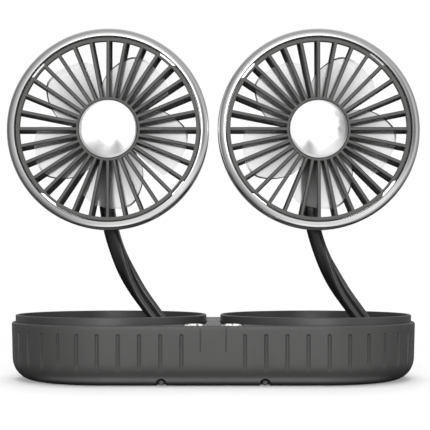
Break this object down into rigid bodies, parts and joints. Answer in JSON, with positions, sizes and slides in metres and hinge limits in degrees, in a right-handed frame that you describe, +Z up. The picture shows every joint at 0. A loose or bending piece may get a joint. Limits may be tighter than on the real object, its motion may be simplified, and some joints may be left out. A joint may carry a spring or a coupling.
{
  "type": "dual head car fan",
  "caption": "Small fan with round grilled heads on curved arms that stand in turning cups of one long oval base, each head tilting on its arm.",
  "frame": {"origin": "on the floor under the middle of the base", "axes": "+Z up, +X from the left fan to the right fan as seen from the front, -Y the way the heads blow"},
  "size_m": [0.2204, 0.1084, 0.188],
  "materials": {
    "casing": "matte moulded dark grey",
    "cup": "matte moulded dark grey",
    "arm": "satin black",
    "liner": "satin grey",
    "grille": "matte moulded dark grey",
    "duct": "matte black",
    "blade": "frosted translucent white",
    "bright": "bright plated",
    "steel": "plain",
    "pad": "matte black rubber",
    "button": "satin grey",
    "board": "green laminate",
    "lens": "milky white",
    "bush": "natural white"
  },
  "bodies": {
    "base": {"base_casing": "casing", "bottom_cover": "casing", "foot_pad": "pad", "control_board": "board", "cord_inlet": "pad", "cover_screw_1": "steel", "cover_screw_2": "steel", "cover_screw_3": "steel", "cover_screw_4": "steel", "left_turning_bush": "bush", "right_turning_bush": "bush", "left_switch": "steel", "right_switch": "steel", "left_indicator_lens": "lens", "right_indicator_lens": "lens"},
    "left_key": {"left_button": "button"},
    "right_key": {"right_button": "button"},
    "left_turntable": {"left_cup": "cup", "left_retaining_ring": "steel", "left_arm": "arm", "left_arm_liner": "liner", "left_arm_socket": "cup", "left_tilt_pin": "steel"},
    "right_turntable": {"right_cup": "cup", "right_retaining_ring": "steel", "right_arm": "arm", "right_arm_liner": "liner", "right_arm_socket": "cup", "right_tilt_pin": "steel"},
    "left_head": {"left_front_grille": "grille", "left_duct": "duct", "left_bright_ring": "bright", "left_hub_cap": "bright", "left_motor": "steel", "left_tilt_bracket": "duct"},
    "right_head": {"right_front_grille": "grille", "right_duct": "duct", "right_bright_ring": "bright", "right_hub_cap": "bright", "right_motor": "steel", "right_tilt_bracket": "duct"},
    "left_fan": {"left_impeller": "blade", "left_motor_shaft": "steel"},
    "right_fan": {"right_impeller": "blade", "right_motor_shaft": "steel"}
  },
  "joints": [
    {"name": "left_turn", "type": "hinge", "parent": "base", "child": "left_turntable", "pos_m": [-0.056, 0, 0], "axis": [0, 0, 1], "range_deg": [-175, 175]},
    {"name": "right_turn", "type": "hinge", "parent": "base", "child": "right_turntable", "pos_m": [0.056, 0, 0], "axis": [0, 0, 1], "range_deg": [-175, 175]},
    {"name": "left_tilt", "type": "hinge", "parent": "left_turntable", "child": "left_head", "pos_m": [-0.056, 0, 0.1343], "axis": [-1, 0, 0], "range_deg": [-5, 90]},
    {"name": "right_tilt", "type": "hinge", "parent": "right_turntable", "child": "right_head", "pos_m": [0.056, 0, 0.1343], "axis": [-1, 0, 0], "range_deg": [-5, 90]},
    {"name": "left_spin", "type": "hinge", "parent": "left_head", "child": "left_fan", "pos_m": [-0.056, 0, 0.1343], "axis": [0, -1, 0], "continuous": true},
    {"name": "right_spin", "type": "hinge", "parent": "right_head", "child": "right_fan", "pos_m": [0.056, 0, 0.1343], "axis": [0, -1, 0], "continuous": true},
    {"name": "left_press", "type": "slide", "parent": "base", "child": "left_key", "axis": [0, 1, 0], "range_m": [0, 0.0008], "stiffness_N_per_m": 300},
    {"name": "right_press", "type": "slide", "parent": "base", "child": "right_key", "axis": [0, 1, 0], "range_m": [0, 0.0008], "stiffness_N_per_m": 300}
  ]
}
